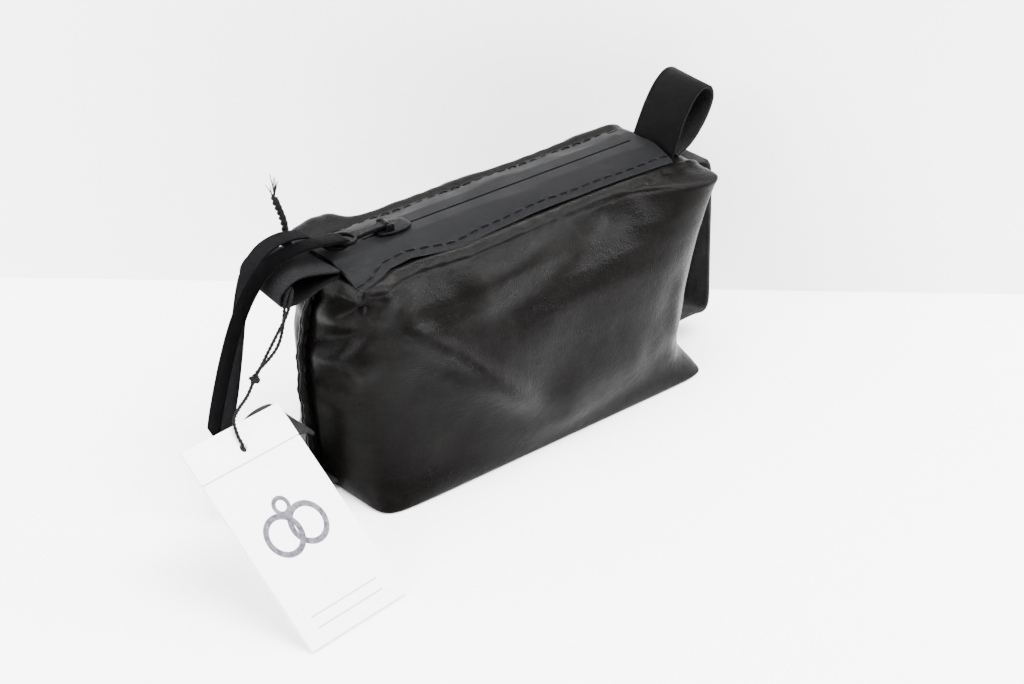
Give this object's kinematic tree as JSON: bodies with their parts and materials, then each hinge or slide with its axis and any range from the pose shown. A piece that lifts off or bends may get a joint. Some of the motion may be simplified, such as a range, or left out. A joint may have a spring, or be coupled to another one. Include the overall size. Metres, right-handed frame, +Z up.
{
  "type": "makeup bag",
  "caption": "Boxy soft leather zip pouch with a tab loop and a side strap at each end, a ribbon on the zip puller and a folded card tag hanging on a waxed cord.",
  "frame": {"origin": "middle of the base, on the surface the bag stands on", "axes": "+Z up, +X along the zip from the slider's resting end to the other end, -Y towards the front panel"},
  "size_m": [0.2808, 0.1221, 0.1283],
  "materials": {
    "shell_leather": "soft black leather, fine grain, satin",
    "tab_leather": "smooth black leather, matte",
    "ribbon_leather": "smooth black leather ribbon",
    "strap_suede": "black strap with its flesh side showing",
    "lining_cloth": "woven cotton lining",
    "coated_tape": "matte coated zip tape",
    "coil_nylon": "moulded nylon coil",
    "black_metal": "black satin coating",
    "thread": "black bonded thread",
    "waxed_cord": "twisted waxed cord",
    "card": "uncoated white card"
  },
  "bodies": {
    "bag": {"front_panel": "shell_leather", "back_panel": "shell_leather", "front_lining": "lining_cloth", "back_lining": "lining_cloth", "front_band_edge": "shell_leather", "back_band_edge": "shell_leather", "left_zip_end": "coated_tape", "right_zip_end": "coated_tape", "left_coil_end": "coil_nylon", "right_coil_end": "coil_nylon", "zip_top_stop": "black_metal", "zip_bottom_stop": "black_metal", "left_tab_loop": "tab_leather", "right_tab_loop": "tab_leather", "left_side_strap": "strap_suede", "right_side_strap": "strap_suede", "front_topstitch": "thread", "back_topstitch": "thread", "left_end_stitch": "thread", "right_end_stitch": "thread", "cord_hitch": "waxed_cord", "cord_tail": "waxed_cord"},
    "front_flap": {"front_zip_tape": "coated_tape", "front_zip_coil": "coil_nylon"},
    "back_flap": {"back_zip_tape": "coated_tape", "back_zip_coil": "coil_nylon"},
    "slider": {"slider_body": "black_metal"},
    "puller": {"puller": "black_metal"},
    "ribbon": {"puller_ribbon": "ribbon_leather"},
    "tag": {"cord_run": "waxed_cord", "cord_knot": "waxed_cord", "tag_back_leaf": "card", "tag_top_strip": "card"},
    "tag_leaf": {"tag_front_leaf": "card"}
  },
  "joints": [
    {"name": "slider_slide", "type": "slide", "parent": "bag", "child": "slider", "axis": [1, 0, 0], "range_m": [0, 0.122], "deforming": ["puller_ribbon"]},
    {"name": "puller_flip", "type": "hinge", "parent": "slider", "child": "puller", "pos_m": [-0.053, 0.006, 0.10005], "axis": [0, 1, 0], "range_deg": [0, 100]},
    {"name": "ribbon_swing", "type": "hinge", "parent": "puller", "child": "ribbon", "pos_m": [-0.073, 0.006, 0.10005], "axis": [0, 1, 0], "range_deg": [-50, 0]},
    {"name": "front_mouth", "type": "hinge", "parent": "bag", "child": "front_flap", "pos_m": [0, -0.008, 0.09362], "axis": [1, 0, 0], "range_deg": [0, 80]},
    {"name": "back_mouth", "type": "hinge", "parent": "bag", "child": "back_flap", "pos_m": [0, 0.02, 0.09362], "axis": [1, 0, 0], "range_deg": [-80, 0]},
    {"name": "tag_swing", "type": "hinge", "parent": "bag", "child": "tag", "pos_m": [-0.106, -0.002, 0.094], "axis": [0, 1, 0], "range_deg": [0, 35]},
    {"name": "tag_open", "type": "hinge", "parent": "tag", "child": "tag_leaf", "pos_m": [-0.14298, -0.02749, 0.04672], "axis": [-0.9914, -0.1305, 0], "range_deg": [0, 60]}
  ],
  "couplings": [
    {"joint": "ribbon_swing", "follows": "puller_flip", "ratio": -0.5},
    {"joint": "back_mouth", "follows": "front_mouth", "ratio": -1}
  ]
}
